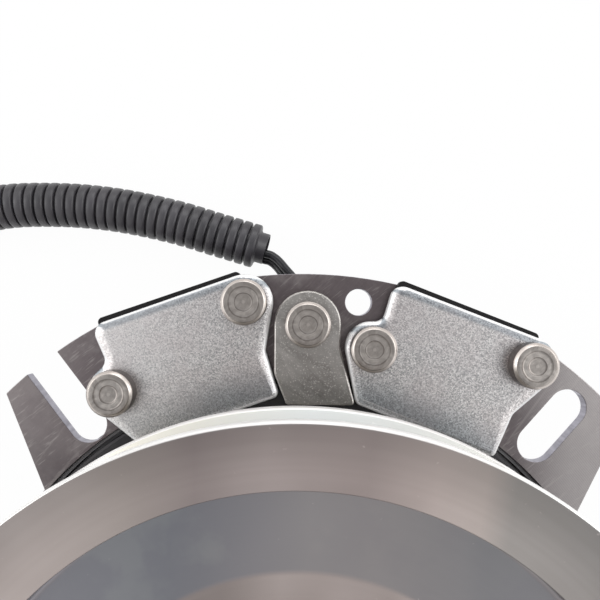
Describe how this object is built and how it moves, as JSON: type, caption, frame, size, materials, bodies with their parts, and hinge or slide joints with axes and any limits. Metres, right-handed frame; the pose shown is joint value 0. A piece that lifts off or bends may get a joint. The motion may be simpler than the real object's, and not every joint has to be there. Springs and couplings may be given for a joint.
{
  "type": "electric power take-off clutch",
  "caption": "Electromagnetic clutch with a V pulley, a slotted fan-shaped bracket, a permanent-magnet brake and a short wire lead in corrugated conduit.",
  "frame": {"origin": "centre of the crankshaft bore at the rear face", "axes": "+Z along the crankshaft towards the belt side, +Y towards the middle of the bracket's fan"},
  "size_m": [0.2169, 0.2097, 0.0737],
  "materials": {
    "shell_steel": "turned, oiled dark steel",
    "bobbin_plastic": "moulded",
    "copper_wire": "enamelled winding",
    "resin": "poured resin",
    "bearing_steel": "ground",
    "black_rubber": "matt",
    "bracket_steel": "oiled dark steel with bare lilac-grey cut edges",
    "magnet": "sintered magnet",
    "zinc_plate": "bright zinc plating with fine sparkle",
    "turned_steel": "turned, with concentric tool marks",
    "tab_steel": "plain steel with rub marks",
    "wire_jacket": "thin smooth jacket",
    "conduit_plastic": "corrugated charcoal plastic",
    "plug_plastic": "moulded",
    "seal_rubber": "matt",
    "terminal_brass": "tinned brass",
    "rotor_steel": "turned",
    "lining": "pressed friction lining",
    "spring_steel": "oiled spring steel",
    "hub_steel": "turned",
    "pulley_steel": "bright satin steel",
    "armature_steel": "blackened steel"
  },
  "bodies": {
    "field": {"field_shell": "shell_steel", "coil_bobbin": "bobbin_plastic", "coil_winding": "copper_wire", "potting_resin": "resin", "field_bearing_outer": "bearing_steel", "field_bearing_balls": "bearing_steel", "field_bearing_seals": "black_rubber", "mounting_bracket": "bracket_steel", "magnet_holder_left": "black_rubber", "magnet_holder_right": "black_rubber", "brake_magnets": "magnet", "brake_plate_left": "zinc_plate", "brake_plate_right": "zinc_plate", "brake_studs_left": "turned_steel", "brake_studs_right": "turned_steel", "centre_tab": "tab_steel", "tab_spacer": "turned_steel", "tab_stud": "turned_steel", "lead_grommet": "black_rubber", "lead_wire_a": "wire_jacket", "lead_wire_b": "wire_jacket", "lead_conduit": "conduit_plastic", "connector_housing": "plug_plastic", "connector_seal": "seal_rubber", "connector_terminals": "terminal_brass"},
    "rotor": {"rotor_hub": "rotor_steel", "friction_ring": "lining", "spacer_collar": "turned_steel", "hub_rear_ring": "spring_steel", "hub_front_ring": "spring_steel", "field_bearing_inner": "bearing_steel", "pulley_bearing_inner": "bearing_steel"},
    "pulley": {"pulley_hub": "hub_steel", "pulley_front_half": "pulley_steel", "pulley_rear_half": "pulley_steel", "pulley_bearing_outer": "bearing_steel", "pulley_bearing_balls": "bearing_steel", "pulley_bearing_seals": "black_rubber", "pulley_bore_ring": "spring_steel", "drive_springs": "spring_steel", "spring_rivets": "turned_steel"},
    "armature": {"armature": "armature_steel", "armature_rivets": "turned_steel"}
  },
  "joints": [
    {"name": "rotor_spin", "type": "hinge", "parent": "field", "child": "rotor", "pos_m": [0, 0, 0], "axis": [0, 0, 1], "continuous": true},
    {"name": "pulley_spin", "type": "hinge", "parent": "field", "child": "pulley", "pos_m": [0, 0, 0], "axis": [0, 0, 1], "continuous": true},
    {"name": "armature_slide", "type": "slide", "parent": "pulley", "child": "armature", "axis": [0, 0, 1], "range_m": [-0.0004, 0], "stiffness_N_per_m": 60000, "springref_m": 0.0005, "deforming": ["drive_springs"]}
  ]
}
